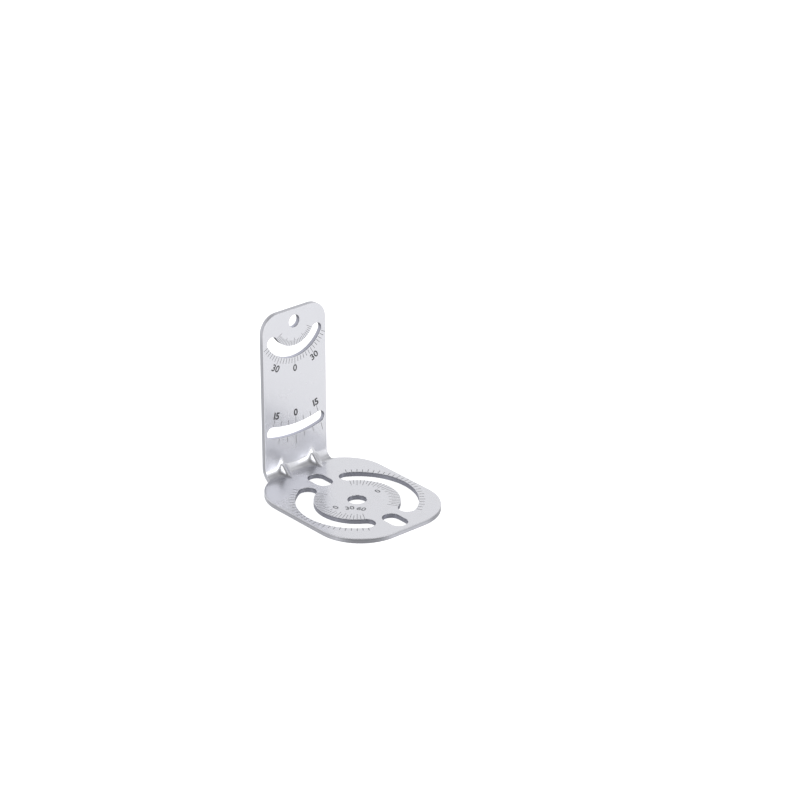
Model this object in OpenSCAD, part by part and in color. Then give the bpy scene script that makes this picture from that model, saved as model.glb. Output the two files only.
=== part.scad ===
// Folded sheet-metal mounting bracket: a round-cornered base with curved slots, and an upright
// that carries a tilting device on a pivot hole and two slots curved about it.
// The origin is the centre of the base's round hole, on the underside. The upright stands at the
// +Y end, its front face looks along -Y, and +Z is up.

/* [Sheet] */
// Thickness of the sheet
sheet_t = 1.8; // [1.2:0.1:2.5]
// Inside radius of the fold between base and upright
bend_r = 3.5; // [2:0.1:5]

/* [Base] */
// Width of the base
base_w = 46.5; // [45:0.5:60]
// Metal left between the front oblong hole and the front edge
front_margin = 2; // [1.5:0.1:12]
// Rear oblong hole to the back face of the upright
back_margin = 9.5; // [8.5:0.1:20]
// Radius of the base's four corners
base_corner_r = 16.5; // [10:0.5:18]
// Back face of the upright to the line that the rear corners curve up to
rear_setback = 2.4; // [2:0.1:4]

/* [Base holes] */
// Diameter of the round hole in the middle
base_hole_d = 6.5; // [4:0.1:10]
// Radius of the curved slots' centre line
base_slot_r = 17.75; // [16:0.25:18]
// Width of the curved slots
base_slot_w = 6.2; // [4:0.1:6.8]
// Angle from the middle of a curved slot to the centre of its round end
base_slot_sweep = 60; // [20:1:60]
// Distance between the centres of the two oblong holes
oblong_pitch = 39; // [36:0.5:50]
// Width of an oblong hole
oblong_w = 6.2; // [4:0.1:7]
// Overall length of an oblong hole
oblong_l = 10; // [8:0.1:11]

/* [Upright] */
// Width of the upright
upright_w = 27; // [26:0.5:30]
// Overall height of the bracket
upright_h = 61; // [60.5:0.5:80]
// Radius of the upright's two top corners
upright_corner_r = 6.5; // [2:0.5:12]

/* [Upright holes] */
// Top edge to the centre of the pivot hole
pivot_drop = 4.5; // [3.5:0.1:8]
// Diameter of the pivot hole
pivot_d = 4.5; // [3:0.1:6]
// Radius of the upper slot's centre line about the pivot
upper_slot_r = 11; // [8:0.1:11.2]
// Width of the upper slot
upper_slot_w = 4.3; // [3:0.1:4.6]
// Angle from the middle of the upper slot to the centre of its round end
upper_slot_sweep = 60; // [15:1:60]
// Radius of the lower slot's centre line about the pivot
lower_slot_r = 40; // [20:0.5:44]
// Width of the lower slot
lower_slot_w = 4.3; // [3:0.1:5]
// Metal left between the lower slot's round ends and the upright's side edges
lower_slot_margin = 1; // [0.8:0.1:6]

/* [Stiffening darts] */
// Centre line of the bracket to each dart
dart_x = 6.6; // [3:0.1:9]
// Reach of a dart up the upright and out over the base, from the inside corner of the fold
dart_reach = 4.8; // [4.2:0.1:7]
// Angle between a dart's two flanks
dart_angle = 80; // [60:1:110]
// Radius along a dart's crest
dart_crest_r = 0.8; // [0.3:0.1:1.5]
// Radius at the bottom of the dent behind a dart
dart_dent_r = 0.3; // [0.1:0.1:1]

/* [Hidden] */
$fn = 96;

// Room that a cutting solid has past the faces it cuts
past = 1;
// Centre hole to the far ends of the oblong holes, to the front edge and to the back of the upright
oblong_reach = (oblong_pitch + oblong_l) / 2;
base_front = oblong_reach + front_margin;
base_back = oblong_reach + back_margin;
// The fold: its outside radius and its centre
bend_outer_r = bend_r + sheet_t;
bend_y = base_back - bend_outer_r;
bend_z = bend_outer_r;
// The line that the rear corners curve up to
base_rear = base_back - rear_setback;
// The pivot that both of the upright's slots are curved about
pivot_z = upright_h - pivot_drop;
// Angle from the middle of the lower slot to the centre of its round end
lower_slot_sweep = asin((upright_w / 2 - lower_slot_margin - lower_slot_w / 2) / lower_slot_r);
// A dart's section: half of the angle between its flanks, and where its two flanks would meet
dart_half = dart_angle / 2;
dart_tip = dart_crest_r / sin(dart_half) - dart_crest_r;
dent_crest = dart_tip - (sheet_t + dart_dent_r) / sin(dart_half) + dart_dent_r;
// Length and depth of a dart's bar before it is trimmed to the fold
dart_l = 4 * dart_reach;
dart_depth = 2 * dart_reach;

// Solids drawn in the plane of the upright, as seen from the front, from the face at y0 to y1
module seen_from_front(y0, y1) {
    translate([0, y1, 0])
        rotate([90, 0, 0])
            linear_extrude(y1 - y0)
                children();
}

// Solids drawn in the side view, Y to the right and Z up, across a width centred on X
module seen_from_side(width) {
    rotate([90, 0, 90])
        linear_extrude(width, center = true)
            children();
}

// All that lies on one side of the X axis, out to a reach
module half_plane(side, reach) {
    translate([-reach, min(side, 0) * reach])
        square([2 * reach, reach]);
}

// A slot of width w, curved about the origin at radius r and centred on +X, with round ends.
// Each half is drawn on the line from the origin to its end.
module curved_slot(r, w, sweep) {
    for (flip = [0, 1])
        mirror([0, flip])
            rotate(sweep) {
                difference() {
                    circle(r + w / 2);
                    circle(r - w / 2);
                    half_plane(1, 2 * r);
                    rotate(-sweep)
                        half_plane(-1, 2 * r);
                }
                translate([r, 0])
                    intersection() {
                        circle(w / 2);
                        half_plane(1, w);
                    }
            }
}

// A straight slot along Y, with round ends
module oblong(w, l) {
    straight = l - w;
    square([w, straight], center = true);
    for (side = [-1, 1])
        translate([0, side * straight / 2])
            circle(w / 2);
}

// A rectangle from y0 to y1, centred on X, with its corners rounded
module rounded_rectangle(w, y0, y1, r) {
    translate([-w / 2, y0 + r])
        square([w, y1 - y0 - 2 * r]);
    translate([-w / 2 + r, y0])
        square([w - 2 * r, y1 - y0]);
    for (side = [-1, 1], y = [y0 + r, y1 - r])
        translate([side * (w / 2 - r), y])
            circle(r);
}

// The base's outline seen from above, with the tongue that folds up into the upright
module base_outline() {
    rounded_rectangle(base_w, -base_front, base_rear, base_corner_r);
    translate([-upright_w / 2, 0])
        square([upright_w, base_back + past]);
}

// The upright's outline seen from the front, above the fold
module upright_outline() {
    intersection() {
        rounded_rectangle(upright_w, 0, upright_h, upright_corner_r);
        translate([-upright_w, bend_z])
            square([2 * upright_w, upright_h]);
    }
}

// All that lies on the inner side of the sheet's outer skin, in the side view
module inside_of_fold() {
    translate([-base_front, 0])
        square([base_front + bend_y, upright_h]);
    translate([bend_y, bend_z])
        square([bend_outer_r, upright_h - bend_z]);
    intersection() {
        translate([bend_y, bend_z])
            circle(bend_outer_r);
        translate([bend_y, 0])
            square([bend_outer_r, bend_z]);
    }
}

// The folded sheet in the side view: base, quarter-round fold and upright
module sheet_profile() {
    translate([-base_front, 0])
        square([base_front + bend_y, sheet_t]);
    translate([base_back - sheet_t, bend_z])
        square([sheet_t, upright_h - bend_z]);
    intersection() {
        translate([bend_y, bend_z])
            difference() {
                circle(bend_outer_r);
                circle(bend_r);
            }
        translate([bend_y, 0])
            square([bend_outer_r, bend_z]);
    }
}

// The folded sheet, trimmed to the base's and the upright's outlines
module folded_blank() {
    intersection() {
        seen_from_side(base_w + 2 * past)
            sheet_profile();
        union() {
            translate([0, 0, -past])
                linear_extrude(bend_z + past)
                    base_outline();
            seen_from_front(bend_y, base_back + past)
                upright_outline();
        }
    }
}

// A wedge with a round crest at the origin, opening downwards
module dart_section(crest_r) {
    flank_x = crest_r * cos(dart_half);
    flank_y = crest_r * sin(dart_half) - crest_r;
    foot_x = flank_x + (flank_y + dart_depth) * tan(dart_half);
    translate([0, -crest_r])
        circle(crest_r);
    polygon([[-foot_x, -dart_depth], [foot_x, -dart_depth], [flank_x, flank_y], [-flank_x, flank_y]]);
}

// Bars of the dart's section across the fold at 45 degrees, their crests sunk below the dart's own
module dart_bars(crest_r, sunk) {
    for (side = [-1, 1])
        translate([side * dart_x, base_back - sheet_t - dart_reach / 2, sheet_t + dart_reach / 2])
            rotate([135, 0, 0])
                linear_extrude(dart_l, center = true)
                    translate([0, sunk])
                        dart_section(crest_r);
}

// Slots and holes through the base
module base_holes() {
    translate([0, 0, -past])
        linear_extrude(sheet_t + 2 * past) {
            circle(base_hole_d / 2);
            for (turn = [0, 180])
                rotate(turn)
                    curved_slot(base_slot_r, base_slot_w, base_slot_sweep);
            for (side = [-1, 1])
                translate([0, side * oblong_pitch / 2])
                    oblong(oblong_w, oblong_l);
        }
}

// Pivot hole and slots through the upright
module upright_holes() {
    seen_from_front(base_back - sheet_t - past, base_back + past)
        translate([0, pivot_z]) {
            circle(pivot_d / 2);
            rotate(-90) {
                curved_slot(upper_slot_r, upper_slot_w, upper_slot_sweep);
                curved_slot(lower_slot_r, lower_slot_w, lower_slot_sweep);
            }
        }
}

// The whole bracket: one folded sheet with its darts pressed in from the outside of the fold
module bracket() {
    color("silver")
        difference() {
            union() {
                folded_blank();
                intersection() {
                    dart_bars(dart_crest_r, 0);
                    seen_from_side(upright_w)
                        inside_of_fold();
                }
            }
            dart_bars(dart_dent_r, dent_crest);
            base_holes();
            upright_holes();
        }
}

bracket();
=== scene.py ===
"""A folded sheet-steel mounting bracket with marked tilt and turn scales, dressed for the camera.

The sheet is modelled as it is made: a flat blank is cut out, its edges are broken, it is folded once, and
two stiffening darts are pressed across the fold. The pieces are modelled at one unit to the millimetre and
brought to metres when they are finished.
"""

import logging
import math
from collections.abc import Callable, Iterator, Sequence
from contextlib import contextmanager
from dataclasses import dataclass, field
from enum import Enum
from typing import Any

import bmesh
import bpy
import numpy as np
from mathutils import Matrix, Vector


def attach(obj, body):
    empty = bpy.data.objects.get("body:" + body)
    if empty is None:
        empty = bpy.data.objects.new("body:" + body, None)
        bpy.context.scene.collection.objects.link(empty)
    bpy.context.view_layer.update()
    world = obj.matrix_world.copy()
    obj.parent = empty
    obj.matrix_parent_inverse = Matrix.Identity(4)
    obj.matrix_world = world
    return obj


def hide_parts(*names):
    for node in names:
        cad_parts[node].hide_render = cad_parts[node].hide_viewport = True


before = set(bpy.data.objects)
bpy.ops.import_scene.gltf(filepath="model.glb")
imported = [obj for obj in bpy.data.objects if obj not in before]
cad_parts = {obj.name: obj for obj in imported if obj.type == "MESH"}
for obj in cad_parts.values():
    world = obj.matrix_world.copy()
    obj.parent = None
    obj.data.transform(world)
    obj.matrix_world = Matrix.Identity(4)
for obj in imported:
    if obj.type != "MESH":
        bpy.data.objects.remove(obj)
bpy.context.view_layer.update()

LOG = logging.getLogger("mounting_bracket")
MM = 0.001
Point = tuple[float, float]
Colour = tuple[float, float, float, float]

# The base's round hole, seen from above, and the pivot hole, seen from the front, in millimetres
BASE_CENTRE: Point = (0.0, 0.0)
PIVOT: Point = (0.0, 56.5)
# How far up the normal of a top face points
UPWARD = 0.9


class Part(Enum):
    """The flat part of the sheet that a hole or a mark lies on."""

    BASE = "base"
    UPRIGHT = "upright"


class Skin(Enum):
    """The sheet's kinds of surface, by the number of their material slot."""

    ROLLED = 0
    SHEARED = 1
    PUNCHED = 2


class Element(Enum):
    """What is selected in edit mode, by Blender's name for it."""

    CORNER = "VERT"
    EDGE = "EDGE"
    FACE = "FACE"


class Change(Enum):
    """What another solid does to a piece, by Blender's name for it."""

    UNITE = "UNION"
    CUT = "DIFFERENCE"


# The bench: operators on one object at a time


class Bench:
    """Selects, edits and finishes one object at a time with Blender's operators."""

    CORNER_SEGMENTS = 28

    @staticmethod
    def pick(*pieces: bpy.types.Object) -> None:
        """Select these objects alone and make the first one active.

        Args:
            pieces: The objects that the next operator acts on.
        """
        bpy.ops.object.select_all(action="DESELECT")
        for piece in pieces:
            piece.select_set(True)
        bpy.context.view_layer.objects.active = pieces[0]

    @staticmethod
    @contextmanager
    def editing(piece: bpy.types.Object) -> Iterator[None]:
        """Hold a piece in edit mode, with all of it selected at the start.

        Args:
            piece: The mesh object to edit.
        """
        Bench.pick(piece)
        bpy.ops.object.mode_set(mode="EDIT")
        bpy.ops.mesh.select_all(action="SELECT")
        yield
        bpy.ops.object.mode_set(mode="OBJECT")

    @staticmethod
    def choose(piece: bpy.types.Object, kind: Element, test: Callable[[Any], bool]) -> None:
        """Select by place, in edit mode, the corners, edges or faces that pass a test.

        Args:
            piece: The object that is being edited.
            kind: What is selected.
            test: Takes a corner, an edge or a face and says whether it is selected.
        """
        bpy.ops.mesh.select_mode(type=kind.value)
        bpy.ops.mesh.select_all(action="DESELECT")
        cage = bmesh.from_edit_mesh(piece.data)
        items = {Element.CORNER: cage.verts, Element.EDGE: cage.edges, Element.FACE: cage.faces}
        for item in items[kind]:
            item.select = test(item)
        cage.select_flush_mode()
        bmesh.update_edit_mesh(piece.data)

    @staticmethod
    def finish(piece: bpy.types.Object, kind: str, **settings: Any) -> None:
        """Add a modifier to a piece, set it up and apply it.

        Args:
            piece: The object that gets the modifier.
            kind: The modifier's type.
            settings: The modifier's settings by name.
        """
        Bench.pick(piece)
        modifier = piece.modifiers.new(kind.title(), kind)
        for name, value in settings.items():
            setattr(modifier, name, value)
        bpy.ops.object.modifier_apply(modifier=modifier.name)

    @staticmethod
    def combine(piece: bpy.types.Object, other: bpy.types.Object, change: Change) -> None:
        """Unite a piece with another solid or cut that solid out of it, and put the other one away."""
        Bench.finish(piece, "BOOLEAN", object=other, operation=change.value, solver="EXACT")
        bpy.data.objects.remove(other, do_unlink=True)

    @staticmethod
    def join(pieces: Sequence[bpy.types.Object], name: str) -> bpy.types.Object:
        """Join pieces into the first one.

        Args:
            pieces: The objects to join.
            name: The joined object's name.

        Returns:
            The joined object.
        """
        Bench.pick(*pieces)
        bpy.ops.object.join()
        pieces[0].name = pieces[0].data.name = name
        return pieces[0]

    @staticmethod
    def plate(width: float, y0: float, y1: float) -> bpy.types.Object:
        """Add a flat rectangular face, centred on X, at the height zero.

        Args:
            width: Its size along X.
            y0: Its front edge.
            y1: Its rear edge.

        Returns:
            The face's object.
        """
        bpy.ops.object.select_all(action="DESELECT")
        bpy.ops.mesh.primitive_plane_add(size=1)
        plate = bpy.context.active_object
        with Bench.editing(plate):
            bpy.ops.transform.resize(value=(width, y1 - y0, 1))
            bpy.ops.transform.translate(value=(0, (y0 + y1) / 2, 0))
        return plate

    @staticmethod
    def round_corners(plate: bpy.types.Object, radius: float, test: Callable[[Any], bool]) -> None:
        """Round the chosen corners of a bare face.

        Args:
            plate: The face's object.
            radius: The corners' radius.
            test: Takes a corner and says whether it is rounded.
        """
        with Bench.editing(plate):
            Bench.choose(plate, Element.CORNER, test)
            bpy.ops.mesh.bevel(offset=radius, segments=Bench.CORNER_SEGMENTS, affect="VERTICES")

    @staticmethod
    def thicken(face: bpy.types.Object, height: float) -> None:
        """Extrude a bare face into a closed solid.

        Args:
            face: The face's object.
            height: How far it is extruded along Z.
        """
        with Bench.editing(face):
            bpy.ops.mesh.extrude_region_move(TRANSFORM_OT_translate={"value": (0, 0, height)})
            bpy.ops.mesh.select_all(action="SELECT")
            bpy.ops.mesh.normals_make_consistent(inside=False)

    @staticmethod
    def reshape(piece: bpy.types.Object, bend: Callable[[np.ndarray], np.ndarray]) -> None:
        """Move all of a piece's vertices by a rule, for the bends that need a window as operators.

        Args:
            piece: The mesh object.
            bend: Takes the places of the vertices and gives their new places.
        """
        places = np.empty(len(piece.data.vertices) * 3)
        piece.data.vertices.foreach_get("co", places)
        piece.data.vertices.foreach_set("co", bend(places.reshape(-1, 3)).ravel())
        piece.data.update()

    @staticmethod
    def to_metres(piece: bpy.types.Object) -> None:
        """Bring a finished piece from millimetres to metres, with its place in its mesh."""
        piece.data.transform(Matrix.Scale(MM, 4))
        piece.data.update()


def curl(u: np.ndarray, v: np.ndarray, start: float, length: float, radius: float,
         angle: float) -> tuple[np.ndarray, np.ndarray]:
    """Roll what lies past a line round a centre on the +v side, and carry the rest on straight.

    Args:
        u: Places along the strip.
        v: Places across the strip, with zero at the radius.
        start: Where the roll starts.
        length: The length of strip that the roll takes up.
        radius: The radius at v = 0.
        angle: The angle that the strip turns through.

    Returns:
        The new places along u and v.
    """
    turned = np.clip((u - start) / length, 0.0, 1.0) * angle
    beyond = np.where(u < start, u - start, np.maximum(u - start - length, 0.0))
    return (start + (radius - v) * np.sin(turned) + beyond * np.cos(turned),
            radius - (radius - v) * np.cos(turned) + beyond * np.sin(turned))


def smooth_max(a: np.ndarray, b: np.ndarray, reach: float) -> np.ndarray:
    """Give the larger of two heights, blended where they differ by less than a reach."""
    share = np.maximum(reach - np.abs(a - b), 0.0) / reach
    return np.maximum(a, b) + share**2 * reach / 4


def fade(share: np.ndarray) -> np.ndarray:
    """Fall smoothly from one at zero to nothing at one and beyond."""
    return np.cos(np.minimum(share, 1.0) * math.pi / 2)**2


# The sheet's features


@dataclass(frozen=True)
class Fold:
    """The quarter-round fold between the base and the upright."""

    start: float = 28.7
    inner_radius: float = 3.5
    thickness: float = 1.8
    angle: float = math.pi / 2

    @property
    def length(self) -> float:
        """The length of blank that the fold takes up, along the middle of the sheet."""
        return (self.inner_radius + self.thickness / 2) * self.angle

    @property
    def top(self) -> float:
        """The height at which the upright starts."""
        return self.inner_radius + self.thickness

    def flat(self, height: float) -> float:
        """Give the place on the blank of a height on the upright."""
        return self.start + self.length + height - self.top

    def folded(self, places: np.ndarray) -> np.ndarray:
        """Fold places on the blank, whose upper face comes inside, with the base's underside at zero."""
        y, z = curl(places[:, 1], places[:, 2], self.start, self.length, self.inner_radius, self.angle)
        return np.column_stack([places[:, 0], y, z + self.thickness])


@dataclass(frozen=True)
class Dart:
    """Stiffening darts across the fold, pressed in from the outside, one on each side of the middle.

    Attributes:
        x: The distance from the middle to each crest.
        reach: How far a crest reaches up the upright and out over the base, from the inside corner.
        angle: The angle between the two flanks, in degrees.
        crest_radius: The radius along the crest.
        dent_radius: The radius at the bottom of the dent on the outside.
        bow: How fast the crest falls away from its middle.
        blend: The difference in height within which a flank runs out into the sheet.
        swell: How far the sheet round a dart is lifted with it.
        swell_reach: How far along the dart the swell goes.
        half_width: How far to each side of the crest the sheet is shaped.
        step: The distance between mesh lines across the dart.
        step_along: The distance between mesh lines along it.
        spare: How far past the crest's ends the sheet is shaped.
    """

    x: float = 6.6
    reach: float = 4.45
    angle: float = 72.0
    crest_radius: float = 0.7
    dent_radius: float = 0.3
    bow: float = 0.03
    blend: float = 2.1
    swell: float = 0.45
    swell_reach: float = 6.5
    half_width: float = 6.6
    step: float = 0.2
    step_along: float = 0.25
    spare: float = 4.0

    @property
    def half_angle(self) -> float:
        """The angle between a flank and the plane through the crest, in radians."""
        return math.radians(self.angle / 2)

    def lines_across(self) -> list[float]:
        """Give the places along X that the mesh needs lines at."""
        offsets = np.arange(-self.half_width, self.half_width + self.step / 2, self.step)
        return [side * (self.x + float(offset)) for side in (-1, 1) for offset in offsets]

    def lines_along(self, fold: Fold) -> list[float]:
        """Give the places along the blank that the mesh needs lines at.

        Args:
            fold: The fold that the darts cross.

        Returns:
            The places, from the base to the upright.
        """
        flat_reach = self.reach - fold.inner_radius + self.spare
        first, last = fold.start - flat_reach, fold.start + fold.length + flat_reach
        count = round((last - first) / self.step_along)
        return [float(y) for y in np.linspace(first, last, count + 1)]

    def drop(self, away: np.ndarray, radius: float) -> np.ndarray:
        """Give how far a dart's ridge, rounded along its crest, falls away to its sides.

        Args:
            away: Distances from the crest line along X.
            radius: The crest's radius.

        Returns:
            The heights lost below the crest.
        """
        shoulder = radius * math.cos(self.half_angle)
        near = radius - np.sqrt(radius**2 - np.minimum(away, shoulder)**2)
        return near + np.maximum(away - shoulder, 0.0) / math.tan(self.half_angle)

    def pressed(self, flat: np.ndarray, folded: np.ndarray, fold: Fold) -> np.ndarray:
        """Lift the sheet onto the darts' ridges, square to the fold's diagonal.

        Args:
            flat: Places on the flat blank, which tell the two faces apart.
            folded: The same places on the folded sheet.
            fold: The fold that the darts cross.

        Returns:
            The places on the pressed sheet.
        """
        diagonal = math.sqrt(0.5)
        y, z = folded[:, 1], folded[:, 2]
        along, height = (y + z) * diagonal, (z - y) * diagonal
        inside_y = fold.start + fold.inner_radius
        crest = (fold.thickness + self.reach - inside_y) * diagonal
        tip = self.crest_radius / math.sin(self.half_angle) - self.crest_radius
        dent = (crest + tip - (fold.thickness + self.dent_radius) / math.sin(self.half_angle)
                + self.dent_radius)
        away = np.abs(np.abs(folded[:, 0]) - self.x)
        beyond = along - (inside_y + fold.thickness) * diagonal
        near = fade(away / self.half_width) * fade(np.abs(beyond) / self.swell_reach)
        height = height + self.swell * near
        fall = self.bow * beyond**2
        inner = smooth_max(height, crest - fall - self.drop(away, self.crest_radius), self.blend)
        outer = smooth_max(height, dent - fall - self.drop(away, self.dent_radius), self.blend)
        depth = -flat[:, 2] / fold.thickness
        lifted = inner + (outer - inner) * depth
        return np.column_stack([folded[:, 0], (along - lifted) * diagonal, (along + lifted) * diagonal])


@dataclass(frozen=True)
class Slot:
    """A slot with round ends, straight or curved about a centre, or a round hole where it has no length.

    Attributes:
        part: The part of the sheet that it goes through.
        centre: Its centre on that part, or the centre that it is curved about.
        width: Its width.
        length: The distance between the centres of a straight slot's round ends.
        radius: The radius of a curved slot's middle line.
        sweep: The angle from a curved slot's middle to the centre of its round end, in degrees.
        facing: How far the slot is turned on its part, in degrees.
        end_points: How many points its two round ends have.
        least_cuts: The fewest cuts along a curved slot.
    """

    part: Part
    centre: Point
    width: float
    length: float = 0.0
    radius: float = 0.0
    sweep: float = 0.0
    facing: float = 0.0
    end_points: int = 64
    least_cuts: int = 12

    def cutter(self, fold: Fold) -> bpy.types.Object:
        """Model the solid that cuts the slot out of the flat blank.

        Args:
            fold: The sheet's fold, which gives the place of the upright on the blank.

        Returns:
            The cutter, which runs past both faces of the blank by its thickness.
        """
        half = self.length / 2 if self.length else self.radius * math.radians(self.sweep)
        bpy.ops.object.select_all(action="DESELECT")
        bpy.ops.mesh.primitive_circle_add(vertices=self.end_points, radius=self.width / 2, fill_type="NGON",
                                          rotation=(0, 0, math.pi / self.end_points))
        cutter = bpy.context.active_object
        bpy.ops.object.transform_apply(location=False, rotation=True, scale=False)
        if half:
            with Bench.editing(cutter):
                for side in (-1, 1):
                    Bench.choose(cutter, Element.CORNER, lambda corner: corner.co.x * side > 0)
                    bpy.ops.transform.translate(value=(side * half, 0, 0))
                Bench.choose(cutter, Element.EDGE, lambda edge: edge.verts[0].co.x * edge.verts[1].co.x < 0)
                if self.radius:
                    bpy.ops.mesh.subdivide(number_cuts=max(self.least_cuts, round(self.sweep)))
        if self.radius:
            Bench.reshape(cutter, lambda places: self.curled(places, half))
        Bench.thicken(cutter, 3 * fold.thickness)
        for face in cutter.data.polygons:
            face.material_index = Skin.PUNCHED.value
        y = self.centre[1] if self.part is Part.BASE else fold.flat(self.centre[1])
        place = Matrix.Translation((self.centre[0], y, -2 * fold.thickness))
        cutter.data.transform(place @ Matrix.Rotation(math.radians(self.facing), 4, "Z"))
        return cutter

    def curled(self, places: np.ndarray, half: float) -> np.ndarray:
        """Curl a straight slot along X round the origin, so that its middle lies at -Y.

        Args:
            places: Places on the straight slot.
            half: Half of the distance between its end centres.

        Returns:
            The places on the curved slot.
        """
        side = np.sign(places[:, 0])
        x, y = curl(np.abs(places[:, 0]), places[:, 1], 0.0, half, self.radius, math.radians(self.sweep))
        return np.column_stack([side * x, y - self.radius, places[:, 2]])


# Shader nodes written as expressions


class Term:
    """A value in a shader that takes part in Python arithmetic."""

    def __init__(self, sheet: "NodeSheet", socket: bpy.types.NodeSocket) -> None:
        """Wrap a node's output."""
        self.sheet = sheet
        self.socket = socket

    def _math(self, operation: str, *values: Any) -> "Term":
        """Add a Math node."""
        return self.sheet.node("ShaderNodeMath", {"operation": operation}, dict(enumerate(values)))

    def __add__(self, other: Any) -> "Term":
        """Add."""
        return self._math("ADD", self, other)

    __radd__ = __add__

    def __sub__(self, other: Any) -> "Term":
        """Subtract."""
        return self._math("SUBTRACT", self, other)

    def __rsub__(self, other: Any) -> "Term":
        """Subtract from a number."""
        return self._math("SUBTRACT", other, self)

    def __mul__(self, other: Any) -> "Term":
        """Multiply."""
        return self._math("MULTIPLY", self, other)

    __rmul__ = __mul__

    def above(self, low: float, high: float) -> "Term":
        """Ramp smoothly from zero at a low value to one at a high value."""
        return self.sheet.node("ShaderNodeMapRange", {"interpolation_type": "SMOOTHSTEP"},
                               {"Value": self, "From Min": low, "From Max": high})

    def largest(self, other: Any) -> "Term":
        """Take the larger of two values."""
        return self._math("MAXIMUM", self, other)


class NodeSheet:
    """A node tree that is written from Python."""

    def __init__(self, tree: bpy.types.NodeTree) -> None:
        """Start on an empty tree of a material or a world."""
        self.tree = tree
        tree.nodes.clear()

    def node(self, kind: str, settings: dict[str, Any] | None = None,
             sockets: dict[str | int, Any] | None = None, out: str | int = 0) -> Term:
        """Add a node.

        Args:
            kind: The node's type.
            settings: Its own settings, which are set first.
            sockets: Values or links of its inputs, by name, identifier or number.
            out: The name or number of the output that is wanted.

        Returns:
            The output, ready for arithmetic.
        """
        node = self.tree.nodes.new(kind)
        for name, value in (settings or {}).items():
            setattr(node, name, value)
        for name, value in (sockets or {}).items():
            socket = self.find(node.inputs, name)
            if isinstance(value, Term):
                self.tree.links.new(value.socket, socket)
            else:
                socket.default_value = value
        return Term(self, self.find(node.outputs, out) if node.outputs else None)

    @staticmethod
    def find(sockets: Any, name: str | int) -> bpy.types.NodeSocket:
        """Find a socket by its identifier where it has that one, or else by its name or number."""
        return next((socket for socket in sockets if socket.identifier == name), None) or sockets[name]

    def mix(self, factor: Term, low: Colour | Term, high: Colour | Term) -> Term:
        """Blend two colours: a factor of zero gives the first one, and one gives the second."""
        return self.node("ShaderNodeMix", {"data_type": "RGBA"},
                         {"Factor_Float": factor, "A_Color": low, "B_Color": high}, "Result_Color")

    def noise(self, place: Term, scale: float, detail: float = 3.0) -> Term:
        """Add a cloudy pattern between zero and one, with a scale in features to the metre."""
        return self.node("ShaderNodeTexNoise", {}, {"Vector": place, "Scale": scale, "Detail": detail})


def grey(value: float, blue: float = 0.0) -> Colour:
    """Give a grey, a little bluer where that is wanted."""
    green_loss, blue_gain = 0.7, 2.0
    return (value * (1 - blue), value * (1 - green_loss * blue), value * (1 + blue_gain * blue), 1.0)


@dataclass(frozen=True)
class SatinSteel:
    """The rolled skin of the sheet: satin stainless steel with a fine grain along its length.

    Its patterns are fine grain, streaks, broad clouds and handled spots, with scales in features to the
    metre. Each roughness is what a pattern adds to the sheet's own.
    """

    name: str = "satin_steel"
    pale: Colour = grey(0.775, 0.018)
    dim: Colour = grey(0.735, 0.022)
    roughness: float = 0.25
    stretch: float = 0.03
    grain_scale: float = 5200.0
    grain_roughness: float = 0.05
    streak_scale: float = 900.0
    cloud_scale: float = 60.0
    cloud_roughness: float = 0.05
    cloud_share: float = 0.65
    handled_scale: float = 240.0
    handled_from: float = 0.52
    handled_to: float = 0.76
    handled_roughness: float = 0.03
    relief_strength: float = 0.05
    relief_depth: float = 0.00002
    relief_grain: float = 0.6

    def material(self) -> bpy.types.Material:
        """Write the finish.

        Returns:
            The material.
        """
        material = bpy.data.materials.new(self.name)
        material.use_nodes = True
        sheet = NodeSheet(material.node_tree)
        place = sheet.node("ShaderNodeTexCoord", out="Object")
        split = sheet.node("ShaderNodeSeparateXYZ", {}, {0: place})
        axes = [Term(sheet, socket) for socket in split.socket.node.outputs]
        along = (axes[1] + axes[2]) * self.stretch
        strip = sheet.node("ShaderNodeCombineXYZ", {}, {"X": axes[0], "Y": along})
        grain = sheet.noise(strip, self.grain_scale, detail=2.0)
        streaks = sheet.noise(strip, self.streak_scale)
        clouds = sheet.noise(place, self.cloud_scale)
        handled = sheet.noise(place, self.handled_scale, detail=5.0).above(self.handled_from, self.handled_to)
        paleness = self.cloud_share * clouds + (1 - self.cloud_share) * streaks
        colour = sheet.mix(paleness, self.dim, self.pale)
        roughness = (self.roughness + (grain - 0.5) * self.grain_roughness
                     + (clouds - 0.5) * self.cloud_roughness + handled * self.handled_roughness)
        relief = sheet.node("ShaderNodeBump", {}, {
            "Strength": self.relief_strength, "Distance": self.relief_depth,
            "Height": self.relief_grain * grain + (1 - self.relief_grain) * streaks})
        surface = sheet.node("ShaderNodeBsdfPrincipled", {}, {
            "Base Color": colour, "Metallic": 1.0, "Roughness": roughness, "Normal": relief})
        sheet.node("ShaderNodeOutputMaterial", {}, {"Surface": surface})
        return material


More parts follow.
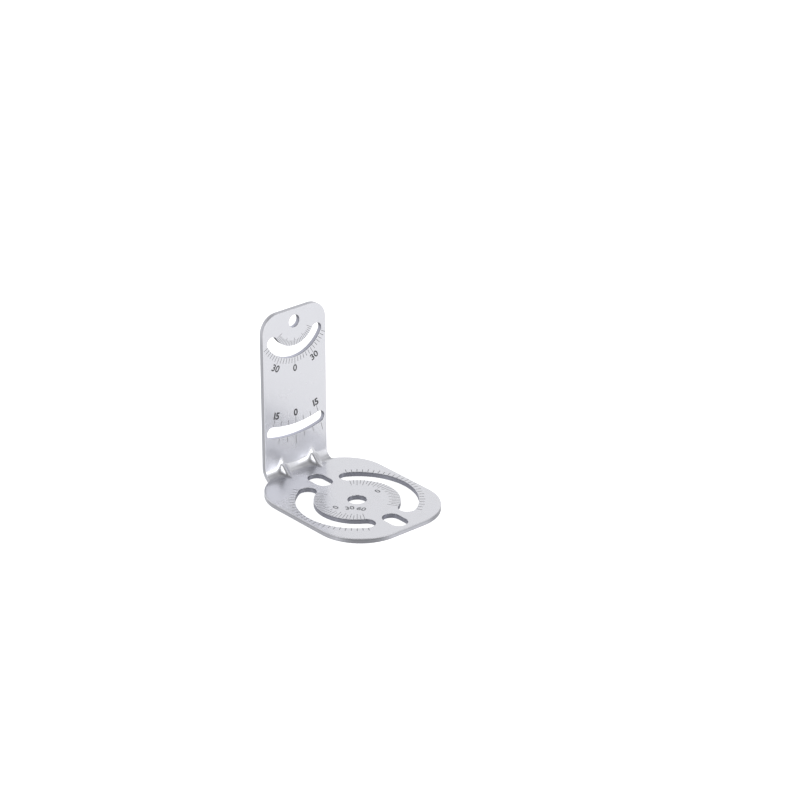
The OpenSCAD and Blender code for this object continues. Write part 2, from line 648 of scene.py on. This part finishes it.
@dataclass(frozen=True)
class CutSteel:
    """A cut wall of the sheet: a burnished band near the struck face, a dark line, then a torn band, with
    painted shade and light by the way it faces.

    Attributes:
        name: The material's name.
        burnished: The colour of the band near the struck face.
        torn: The colour of the band past it.
        line: The colour of the line between the two; on the punched walls it lies close to the face and is a
            painted shadow under the rolled-over lip.
        roughness: The burnished band's roughness.
        painted_wall_shade: How much darker the base's walls are painted where they face a shaded stretch.
        base_share: The tone of the base's walls, as a share of the upright's.
        top_share: The tone of the upright's top edge, as a share of the rest.
        painted_skyward_light: How much lighter the upright's walls are painted where they face up, and darker
            where they face down.
        band: The burnished band's share of the thickness.
        line_width: The line's width to each side, as a share of the thickness.
        tear_width: The width over which the torn band starts, likewise.
        wander: How far the bands wander, likewise.
        wander_scale: The wandering's features to the metre.
        torn_share: How much of the torn band's colour shows.
        pit_share: How much the pits change that.
        pit_scale: The pits to the metre.
        pit_strength: The strength of the pits' relief.
        pit_depth: The depth of the pits, in metres.
        torn_roughness: What the torn band adds to the roughness.
        base_heights: The heights between which the base's tone ends, in metres.
        top_heights: The heights between which the top edge's tone starts, in metres.
    """

    name: str
    burnished: Colour
    torn: Colour
    line: Colour
    roughness: float
    painted_wall_shade: float
    base_share: float = 1.0
    top_share: float = 1.0
    painted_skyward_light: float = 0.0
    band: float = 0.30
    line_width: float = 0.14
    tear_width: float = 0.05
    wander: float = 0.14
    wander_scale: float = 900.0
    torn_share: float = 0.7
    pit_share: float = 0.6
    pit_scale: float = 2600.0
    pit_strength: float = 0.2
    pit_depth: float = 0.00004
    torn_roughness: float = 0.12
    base_heights: Point = (0.002, 0.005)
    top_heights: Point = (0.050, 0.060)

    def material(self) -> bpy.types.Material:
        """Write the finish.

        Returns:
            The material.
        """
        material = bpy.data.materials.new(self.name)
        material.use_nodes = True
        sheet = NodeSheet(material.node_tree)
        place = sheet.node("ShaderNodeTexCoord", out="Object")
        depth = sheet.node("ShaderNodeAttribute", {"attribute_name": "depth"}, out="Fac")
        level = depth + (sheet.noise(place, self.wander_scale, detail=4.0) - 0.5) * self.wander
        tear = level.above(self.band - self.tear_width, self.band + self.tear_width)
        # The dark line's mask; on the punched walls the line is a painted shadow under the rolled-over lip
        step = (level.above(self.band - self.line_width, self.band)
                - level.above(self.band, self.band + self.line_width))
        pits = sheet.noise(place, self.pit_scale)
        walls = sheet.mix(tear * (self.torn_share + self.pit_share * (pits - 0.5)), self.burnished, self.torn)
        relief = sheet.node("ShaderNodeBump", {}, {
            "Strength": self.pit_strength, "Distance": self.pit_depth, "Height": pits * tear})
        height = sheet.node("ShaderNodeSeparateXYZ", {}, {0: place}, out="Z")
        # Painted shade on the base's walls, by the way each faces
        dim = sheet.node("ShaderNodeAttribute", {"attribute_name": "dim"}, out="Fac")
        # Painted light and shade on the upright's walls: lighter where they face up, darker where they face
        # down
        skyward = sheet.node("ShaderNodeAttribute", {"attribute_name": "skyward"}, out="Fac")
        tone = (self.base_share + (1.0 - self.base_share) * height.above(*self.base_heights)
                + (self.top_share - 1.0) * height.above(*self.top_heights))
        shade = tone * (1.0 - self.painted_wall_shade * dim) * (1.0 + self.painted_skyward_light * skyward)
        colour = sheet.node("ShaderNodeVectorMath", {"operation": "SCALE"},
                            {0: sheet.mix(step, walls, self.line), "Scale": shade})
        surface = sheet.node("ShaderNodeBsdfPrincipled", {}, {
            "Base Color": colour, "Metallic": 1.0,
            "Roughness": self.roughness + self.torn_roughness * tear, "Normal": relief})
        sheet.node("ShaderNodeOutputMaterial", {}, {"Surface": surface})
        return material


# The number after the roughness is the painted shade that the base's walls get by the way they face
SHEARED_EDGE = CutSteel("sheared_edge", grey(0.43, 0.02), grey(0.44, 0.03), grey(0.34, 0.03), 0.34, 0.50,
                        base_share=1.28, top_share=1.48)
# The punched walls' dark line, close to the face, is a painted shadow under the rolled-over lip
PUNCHED_WALL = CutSteel("punched_wall", grey(0.36, 0.045), grey(0.34, 0.055), grey(0.20, 0.06), 0.40, 0.30,
                        base_share=1.10, painted_skyward_light=1.2, band=0.14)


@dataclass(frozen=True)
class BurntMark:
    """A scale's strokes: steel darkened by a marking beam, a little uneven."""

    name: str
    dark: Colour
    pale: Colour
    metallic: float = 0.35
    roughness: float = 0.46
    uneven_roughness: float = 0.16
    uneven_scale: float = 1500.0

    def material(self) -> bpy.types.Material:
        """Write the finish.

        Returns:
            The material.
        """
        material = bpy.data.materials.new(self.name)
        material.use_nodes = True
        sheet = NodeSheet(material.node_tree)
        place = sheet.node("ShaderNodeTexCoord", out="Object")
        uneven = sheet.noise(place, self.uneven_scale)
        surface = sheet.node("ShaderNodeBsdfPrincipled", {}, {
            "Base Color": sheet.mix(uneven, self.dark, self.pale), "Metallic": self.metallic,
            "Roughness": self.roughness + self.uneven_roughness * uneven})
        sheet.node("ShaderNodeOutputMaterial", {}, {"Surface": surface})
        return material


DEEP_MARK = BurntMark("deep_mark", grey(0.05, 0.02), grey(0.13, 0.02))
FAINT_MARK = BurntMark("faint_mark", grey(0.07, 0.02), grey(0.17, 0.02), metallic=0.3)
PALE_MARK = BurntMark("pale_mark", grey(0.15, 0.03), grey(0.29, 0.03), metallic=0.4)


# The sub-assemblies


@dataclass(frozen=True)
class PaintedShadeStretch:
    """A stretch of the base's cut walls with painted shade: the way it faces, its spread in degrees and its
    strength.

    The painted shade is deepest within the inner angle from the way it faces, and ends at the outer one.
    """

    facing: float
    outer: float
    inner: float
    strength: float = 1.0

    def over(self, normals: np.ndarray) -> np.ndarray:
        """Give how much of the painted shade each wall has.

        Args:
            normals: The way that each wall faces.

        Returns:
            The shares, from nothing to the stretch's strength.
        """
        facing, outer, inner = (math.radians(angle) for angle in (self.facing, self.outer, self.inner))
        turned = normals @ np.array([math.cos(facing), math.sin(facing), 0.0])
        share = np.clip((turned - math.cos(outer)) / (math.cos(inner) - math.cos(outer)), 0.0, 1.0)
        return self.strength * share**2 * (3 - 2 * share)


@dataclass
class FoldedSheet:
    """The bracket's one piece of sheet: base, fold with its darts, and upright.

    Sizes are in millimetres from the centre of the base's round hole. A face whose normal rises or falls by
    more than lip_slope counts as rolled skin, which runs on over the broken edges.
    """

    base_width: float = 46.5
    base_front: float = 26.5
    base_rear: float = 31.6
    base_corner: float = 16.5
    upright_width: float = 27.0
    upright_height: float = 61.0
    upright_corner: float = 6.5
    broken_edge: float = 0.12
    edge_segments: int = 3
    edge_angle: float = 60.0
    lip_slope: float = 0.25
    smooth_angle: float = 40.0
    normal_weight: int = 80
    slack: float = 1e-4
    # Painted shade on the base's cut walls: darker where they face the front left, the front right and the
    # left
    painted_shade_stretches: tuple[PaintedShadeStretch, ...] = (
        PaintedShadeStretch(234.0, 36.0, 4.0),
        PaintedShadeStretch(301.0, 28.0, 9.0, 0.6),
        PaintedShadeStretch(180.0, 24.0, 4.0, 0.35),
    )
    fold: Fold = field(default_factory=Fold)
    dart: Dart = field(default_factory=Dart)
    slots: tuple[Slot, ...] = (
        Slot(Part.BASE, BASE_CENTRE, 6.5),
        Slot(Part.BASE, (0.0, 19.5), 6.2, length=3.8, facing=90.0),
        Slot(Part.BASE, (0.0, -19.5), 6.2, length=3.8, facing=90.0),
        Slot(Part.BASE, BASE_CENTRE, 6.2, radius=17.75, sweep=60.0, facing=90.0),
        Slot(Part.BASE, BASE_CENTRE, 6.2, radius=17.75, sweep=60.0, facing=-90.0),
        Slot(Part.UPRIGHT, PIVOT, 4.5),
        Slot(Part.UPRIGHT, PIVOT, 4.3, radius=11.0, sweep=60.0),
        Slot(Part.UPRIGHT, PIVOT, 4.3, radius=40.0, sweep=15.0),
    )

    def blank(self) -> bpy.types.Object:
        """Cut out the flat blank with its holes.

        Returns:
            The blank, with its upper face at the height zero.
        """
        base = Bench.plate(self.base_width, -self.base_front, self.base_rear)
        Bench.round_corners(base, self.base_corner, lambda corner: True)
        tongue = Bench.plate(self.upright_width, 0, self.fold.flat(self.upright_height))
        Bench.round_corners(tongue, self.upright_corner, lambda corner: corner.co.y > self.base_rear)
        for plate in (base, tongue):
            Bench.thicken(plate, -self.fold.thickness)
        Bench.combine(base, tongue, Change.UNITE)
        with Bench.editing(base):
            for line in ((1, 0, 0), (0, 1, 0)):
                bpy.ops.mesh.select_all(action="SELECT")
                bpy.ops.mesh.bisect(plane_co=(0, 0, 0), plane_no=line)
        cutters = [slot.cutter(self.fold) for slot in self.slots]
        for piece in (base, *cutters):
            for finish in (SatinSteel(), SHEARED_EDGE, PUNCHED_WALL):
                piece.data.materials.append(bpy.data.materials.get(finish.name) or finish.material())
        Bench.combine(base, Bench.join(cutters, "cutters"), Change.CUT)
        return base

    def break_edges(self, sheet: bpy.types.Object) -> None:
        """Round the blank's cut edges a little and give its skin and its outer edges their own slots.

        Args:
            sheet: The flat blank.
        """
        Bench.finish(sheet, "BEVEL", width=self.broken_edge, segments=self.edge_segments,
                     limit_method="ANGLE", angle_limit=math.radians(self.edge_angle),
                     use_clamp_overlap=False)
        for face in sheet.data.polygons:
            if abs(face.normal.z) > self.lip_slope:
                face.material_index = Skin.ROLLED.value
            elif face.material_index != Skin.PUNCHED.value:
                face.material_index = Skin.SHEARED.value

    def score(self, sheet: bpy.types.Object) -> None:
        """Lay the mesh lines that the fold and the darts need.

        Args:
            sheet: The flat blank.
        """
        along = self.dart.lines_along(self.fold)
        first, last = along[0] - self.slack, along[-1] + self.slack

        def cut(normal: Point, place: float) -> None:
            """Cut the faces round the fold along one line."""
            Bench.choose(sheet, Element.FACE, lambda face: first < face.calc_center_median().y < last)
            bpy.ops.mesh.bisect(plane_co=(normal[0] * place, normal[1] * place, 0), plane_no=(*normal, 0))

        with Bench.editing(sheet):
            for place in (along[0], along[-1]):
                bpy.ops.mesh.select_all(action="SELECT")
                bpy.ops.mesh.bisect(plane_co=(0, place, 0), plane_no=(0, 1, 0))
            for place in self.dart.lines_across():
                cut((1, 0), place)
            for place in along[1:-1]:
                cut((0, 1), place)

    def mark_walls(self, sheet: bpy.types.Object) -> None:
        """Note the depths in the sheet, the painted shade on the base's walls, and how far the upright's
        walls face up.

        Args:
            sheet: The flat blank.
        """
        depth = sheet.data.attributes.new("depth", "FLOAT", "POINT")
        depths = [-corner.co.z / self.fold.thickness for corner in sheet.data.vertices]
        depth.data.foreach_set("value", depths)
        faces = sheet.data.polygons
        normals = np.array([face.normal for face in faces])
        places = np.array([face.center.y for face in faces])
        # Painted shade: the base's walls are darkened by the way they face
        painted_shade_share = np.max([stretch.over(normals) for stretch in self.painted_shade_stretches], axis=0)
        dim = sheet.data.attributes.new("dim", "FLOAT", "FACE")
        dim.data.foreach_set("value", painted_shade_share * (places < self.fold.start))
        # How far the upright's walls face up, which sets their painted light and shade
        skyward = sheet.data.attributes.new("skyward", "FLOAT", "FACE")
        skyward.data.foreach_set("value", normals[:, 1] * (places > self.fold.start + self.fold.length))

    def build(self) -> bpy.types.Object:
        """Model the folded sheet.

        Returns:
            The finished sheet, in place and in metres.
        """
        sheet = self.blank()
        sheet.name = sheet.data.name = "folded_sheet"
        self.break_edges(sheet)
        self.score(sheet)
        self.mark_walls(sheet)
        Bench.reshape(sheet, lambda flat: self.dart.pressed(flat, self.fold.folded(flat), self.fold))
        Bench.to_metres(sheet)
        Bench.pick(sheet)
        bpy.ops.object.shade_smooth_by_angle(angle=math.radians(self.smooth_angle))
        Bench.finish(sheet, "WEIGHTED_NORMAL", keep_sharp=True, weight=self.normal_weight)
        return sheet

    def dress(self, sheet: bpy.types.Object) -> None:
        """Put the sheet in the place of its CAD node.

        Args:
            sheet: The finished sheet.
        """
        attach(sheet, "root")
        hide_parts("bracket")


@dataclass(frozen=True)
class TickRing:
    """A row of ticks along an arc, with longer ones at some angles, pointing inwards if they are negative."""

    radius: float
    length: float
    long_length: float
    angles: tuple[float, ...]
    long_angles: tuple[float, ...] = ()
    stroke: float = 0.22

    def spans(self) -> list[tuple[float, float]]:
        """Give each tick's angle and its length."""
        return [(angle, self.long_length if angle in self.long_angles else self.length)
                for angle in self.angles]


@dataclass(frozen=True)
class Number:
    """A number on a scale: its words, its place, how far it is turned and its letter spacing."""

    words: str
    place: Point
    turned: float = 0.0
    spacing: float = 1.0


def every(step: float, limit: float) -> tuple[float, ...]:
    """Give the angles from minus a limit to the limit in even steps."""
    count = round(limit / step)
    return tuple(step * n for n in range(-count, count + 1))


def on_arc(words: str, radius: float, angle: float, spacing: float = 1.0) -> Number:
    """Give a number square to an arc below its centre, at an angle from straight down to the right."""
    turn = math.radians(angle)
    return Number(words, (radius * math.sin(turn), -radius * math.cos(turn)), angle, spacing)


@dataclass
class Scale:
    """A marked scale about a centre on one part of the sheet: its ticks and its numbers.

    A tick's top is rim times its foot in width and length. Strokes stand a little proud of the sheet and are
    sunk into it for the rest.
    """

    name: str
    part: Part
    centre: Point
    rings: tuple[TickRing, ...]
    numbers: tuple[Number, ...]
    number_ink: BurntMark
    tick_ink: BurntMark = FAINT_MARK
    facings: tuple[float, ...] = (0.0,)
    number_size: float = 3.4
    number_curve: int = 4
    bolder: float = 0.08
    rim: Point = (0.75, 0.97)
    proud: float = 0.012
    sunk: float = 0.05

    @staticmethod
    def ink(piece: bpy.types.Object, mark: BurntMark) -> None:
        """Give a stroke its finish, which is written once and shared."""
        piece.data.materials.clear()
        piece.data.materials.append(bpy.data.materials.get(mark.name) or mark.material())

    def tick(self, stroke: float) -> bpy.types.Object:
        """Model one tick of unit length along -Y, with a chamfered rim.

        Args:
            stroke: Its width.

        Returns:
            The tick, mostly sunk into the face that it marks.
        """
        tick = Bench.plate(stroke, -1.0, 0.0)
        Bench.thicken(tick, self.proud + self.sunk)
        with Bench.editing(tick):
            Bench.choose(tick, Element.FACE, lambda face: face.normal.z > UPWARD)
            bpy.ops.transform.resize(value=(*self.rim, 1), center_override=(0, -0.5, 0))
        tick.data.transform(Matrix.Translation((0, 0, -self.sunk)))
        self.ink(tick, self.tick_ink)
        return tick

    def ticks(self, ring: TickRing) -> list[bpy.types.Object]:
        """Copy the tick round a ring.

        Args:
            ring: The row of ticks.

        Returns:
            The ticks, about the scale's centre.
        """
        model = self.tick(ring.stroke)
        placed = []
        for facing in self.facings:
            for angle, length in ring.spans():
                copy = model.copy()
                copy.data = model.data.copy()
                bpy.context.collection.objects.link(copy)
                copy.data.transform(Matrix.Rotation(math.radians(facing + angle), 4, "Z")
                                    @ Matrix.Translation((0, -ring.radius, 0))
                                    @ Matrix.Diagonal((1, length, 1, 1)))
                if length < 0:
                    copy.data.flip_normals()
                placed.append(copy)
        bpy.data.objects.remove(model, do_unlink=True)
        return placed

    def number(self, number: Number) -> bpy.types.Object:
        """Model one number as a thin raised mesh.

        Args:
            number: The number and its place about the scale's centre.

        Returns:
            The number's mesh.
        """
        bpy.ops.object.select_all(action="DESELECT")
        bpy.ops.object.text_add()
        text = bpy.context.active_object
        text.data.body = number.words
        text.data.align_x, text.data.align_y = "CENTER", "CENTER"
        text.data.size = self.number_size
        text.data.space_character = number.spacing
        text.data.offset = self.bolder
        text.data.extrude = (self.proud + self.sunk) / 2
        text.data.resolution_u = self.number_curve
        bpy.ops.object.convert(target="MESH")
        piece = bpy.context.active_object
        piece.data.transform(Matrix.Translation((*number.place, (self.proud - self.sunk) / 2))
                             @ Matrix.Rotation(math.radians(number.turned), 4, "Z"))
        self.ink(piece, self.number_ink)
        return piece

    def build(self, fold: Fold) -> bpy.types.Object:
        """Model the whole scale and lay it on the folded sheet.

        Args:
            fold: The sheet's fold.

        Returns:
            The finished scale, in place and in metres.
        """
        strokes = [tick for ring in self.rings for tick in self.ticks(ring)]
        marks = Bench.join(strokes + [self.number(number) for number in self.numbers], self.name)
        y = self.centre[1] if self.part is Part.BASE else fold.flat(self.centre[1])
        marks.data.transform(Matrix.Translation((self.centre[0], y, 0)))
        Bench.reshape(marks, fold.folded)
        Bench.to_metres(marks)
        return marks

    def dress(self, marks: bpy.types.Object) -> None:
        """Let the scale ride with the sheet."""
        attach(marks, "root")


def scales() -> list[Scale]:
    """Lay out the bracket's three scales.

    Returns:
        The upright's upper and lower scales and the base's scale.
    """
    wide, narrow = every(5.0, 60.0), every(5.0, 15.0)
    upper_numbers = (on_arc("30", 17.3, -29.0), on_arc("0", 17.3, 0.0), on_arc("30", 17.3, 29.0))
    upper = Scale("upper_tilt_scale", Part.UPRIGHT, PIVOT, (
        TickRing(13.3, 1.9, 2.5, wide, every(30.0, 30.0)),
        TickRing(8.7, -1.8, -2.6, wide, every(30.0, 60.0), stroke=0.18),
    ), upper_numbers, DEEP_MARK)
    lower_numbers = (on_arc("15", 33.9, -14.6, 0.75), on_arc("0", 33.9, 0.0), on_arc("15", 33.9, 14.6, 0.75))
    lower = Scale("lower_tilt_scale", Part.UPRIGHT, PIVOT, (
        TickRing(37.7, -1.8, -2.5, narrow, every(15.0, 15.0)),
        TickRing(42.3, 1.7, 3.2, narrow[1:], (0.0, 15.0)),
    ), lower_numbers, DEEP_MARK, bolder=0.13)
    turn_numbers = (
        Number("0", (-9.2, 0.1)),
        Number("30", (-6.0, -3.3), -30.0),
        Number("60", (-3.5, -6.3), -60.0),
        Number("0", (9.2, 0.1)),
    )
    turn = Scale("turn_scale", Part.BASE, BASE_CENTRE, (
        TickRing(21.0, 1.7, 2.0, wide, every(10.0, 60.0), stroke=0.27),
        TickRing(14.5, -2.8, -3.8, wide, every(10.0, 60.0), stroke=0.2),
    ), turn_numbers, PALE_MARK, facings=(90.0, -90.0), number_size=3.2)
    return [upper, lower, turn]


# The studio


@dataclass(frozen=True)
class Softbox:
    """A soft lamp: the direction from the bracket that it stands in, its distance, size and brightness."""

    name: str
    azimuth: float
    elevation: float
    distance: float
    width: float
    height: float
    radiance: float

    def build(self, aim: Vector) -> bpy.types.Object:
        """Place the lamp.

        Args:
            aim: The point that it faces.

        Returns:
            The lamp.
        """
        lamp = bpy.data.lights.new(self.name, "AREA")
        lamp.shape = "RECTANGLE"
        lamp.size, lamp.size_y = self.width, self.height
        lamp.energy = self.radiance * math.pi * self.width * self.height
        box = bpy.data.objects.new(self.name, lamp)
        bpy.context.collection.objects.link(box)
        back = direction(self.azimuth, self.elevation)
        box.location = aim + back * self.distance
        box.rotation_euler = back.to_track_quat("Z", "Y").to_euler()
        return box


def direction(azimuth: float, elevation: float) -> Vector:
    """Give the unit vector towards a viewer at an azimuth from the front and an elevation, in degrees."""
    a, e = math.radians(azimuth), math.radians(elevation)
    return Vector((math.sin(a) * math.cos(e), -math.cos(a) * math.cos(e), math.sin(e)))


@dataclass(frozen=True)
class Shade:
    """A darker part of the room in reflections: its direction, its spread in degrees and its depth."""

    azimuth: float
    elevation: float
    inner: float
    outer: float
    depth: float

    def over(self, sheet: NodeSheet, way: Term) -> Term:
        """Tell how far a direction lies in the shade.

        Args:
            sheet: The world's tree.
            way: The direction that is looked in.

        Returns:
            One in the middle of the shade and zero outside it.
        """
        along = sheet.node("ShaderNodeVectorMath", {"operation": "DOT_PRODUCT"},
                           {0: way, 1: direction(self.azimuth, self.elevation)}, "Value")
        return along.above(math.cos(math.radians(self.outer)), math.cos(math.radians(self.inner)))


@dataclass(frozen=True)
class Studio:
    """A pale floor, white surroundings, soft lamps and the camera.

    Angles are in degrees, and sizes in metres. The camera looks from its azimuth and elevation, and the
    point it aims at lies to the right of the origin and above it in the picture. A fill is what the floor
    adds to its own light in the picture and in reflections.
    """

    azimuth: float = -40.859
    elevation: float = 24.979
    distance: float = 0.983456
    lens: float = 131.72
    sensor: float = 36.0
    aim_right: float = 0.014400
    aim_up: float = 0.034998
    clip_start: float = 0.01
    lamp_aim: tuple[float, float, float] = (0.0, 0.01, 0.02)
    floor_size: float = 6.0
    floor_drop: float = 0.00002
    floor_albedo: float = 0.80
    floor_fill: float = 0.55
    mirrored_fill: float = 0.19
    ambient: float = 0.90
    walls: float = 0.97
    shades: tuple[Shade, ...] = (
        Shade(0.0, 90.0, 37.0, 60.0, 0.58),
        Shade(-70.0, 35.0, 30.0, 60.0, 0.50),
        Shade(80.0, 12.0, 14.0, 34.0, 0.30),
    )
    boxes: tuple[Softbox, ...] = (
        Softbox("front_softbox", 5.0, 15.0, 0.9, 0.86, 0.42, 1.46),
        Softbox("right_softbox", 80.0, 52.0, 0.9, 0.30, 0.26, 0.28),
        Softbox("left_softbox", -75.0, 28.0, 0.9, 0.70, 0.50, 1.40),
    )

    def floor(self) -> bpy.types.Object:
        """Lay the floor, white to the camera and in reflections, with the bracket's shadow on it.

        Returns:
            The floor.
        """
        bpy.ops.object.select_all(action="DESELECT")
        bpy.ops.mesh.primitive_plane_add(size=self.floor_size, location=(0, 0, -self.floor_drop))
        floor = bpy.context.active_object
        floor.name = "floor"
        material = bpy.data.materials.new("pale_floor")
        material.use_nodes = True
        sheet = NodeSheet(material.node_tree)
        camera, mirrored = self.rays(sheet)
        matt = sheet.node("ShaderNodeBsdfDiffuse", {}, {"Color": grey(self.floor_albedo)})
        fill = sheet.node("ShaderNodeEmission", {}, {
            "Color": grey(1.0), "Strength": camera * self.floor_fill + mirrored * self.mirrored_fill})
        sheet.node("ShaderNodeOutputMaterial", {}, {
            "Surface": sheet.node("ShaderNodeAddShader", {}, {0: matt, 1: fill})})
        floor.data.materials.append(material)
        return floor

    def rays(self, sheet: NodeSheet) -> tuple[Term, Term]:
        """Tell the rays that show the surroundings from those that light the bracket.

        Args:
            sheet: The tree to add the test to.

        Returns:
            One for the camera's rays and zero for others, and the same for glossy and transmission rays.
        """
        path = sheet.node("ShaderNodeLightPath").socket.node.outputs
        camera, glossy, through = (Term(sheet, path[name]) for name in (
            "Is Camera Ray", "Is Glossy Ray", "Is Transmission Ray"))
        return camera, glossy.largest(through)

    def surroundings(self) -> None:
        """Fill the world: white where it is seen, and a plain level of light elsewhere."""
        world = bpy.data.worlds.new("white_studio")
        bpy.context.scene.world = world
        world.use_nodes = True
        sheet = NodeSheet(world.node_tree)
        camera, mirrored = self.rays(sheet)
        way = sheet.node("ShaderNodeTexCoord", out="Generated")
        room = self.walls * math.prod((1.0 - shade.depth * shade.over(sheet, way) for shade in self.shades))
        level = camera + mirrored * room + (1.0 - camera - mirrored) * self.ambient
        sheet.node("ShaderNodeOutputWorld", {}, {
            "Surface": sheet.node("ShaderNodeBackground", {}, {"Color": grey(1.0), "Strength": level})})

    def camera(self) -> bpy.types.Object:
        """Set up the camera at the photograph's viewing angle.

        Returns:
            The camera.
        """
        back = direction(self.azimuth, self.elevation)
        right = Vector((math.cos(math.radians(self.azimuth)), math.sin(math.radians(self.azimuth)), 0))
        up = back.cross(right)
        lens = bpy.data.cameras.new("camera")
        lens.lens, lens.sensor_width, lens.sensor_fit = self.lens, self.sensor, "HORIZONTAL"
        lens.clip_start = self.clip_start
        camera = bpy.data.objects.new("camera", lens)
        bpy.context.collection.objects.link(camera)
        place = right * self.aim_right + up * self.aim_up + back * self.distance
        camera.matrix_world = Matrix.Translation(place) @ Matrix((right, up, back)).transposed().to_4x4()
        bpy.context.scene.camera = camera
        return camera

    def build(self) -> None:
        """Set up the whole studio."""
        bpy.context.scene.view_settings.view_transform = "Standard"
        self.floor()
        self.surroundings()
        for box in self.boxes:
            box.build(Vector(self.lamp_aim))
        self.camera()


def main() -> None:
    """Build the sheet, its scales and the studio."""
    logging.basicConfig(level=logging.INFO, format="%(message)s")
    sheet = FoldedSheet()
    piece = sheet.build()
    sheet.dress(piece)
    LOG.info("%s: %d faces", piece.name, len(piece.data.polygons))
    for scale in scales():
        marks = scale.build(sheet.fold)
        scale.dress(marks)
        LOG.info("%s: %d faces", marks.name, len(marks.data.polygons))
    Studio().build()


if __name__ == "__main__":
    main()
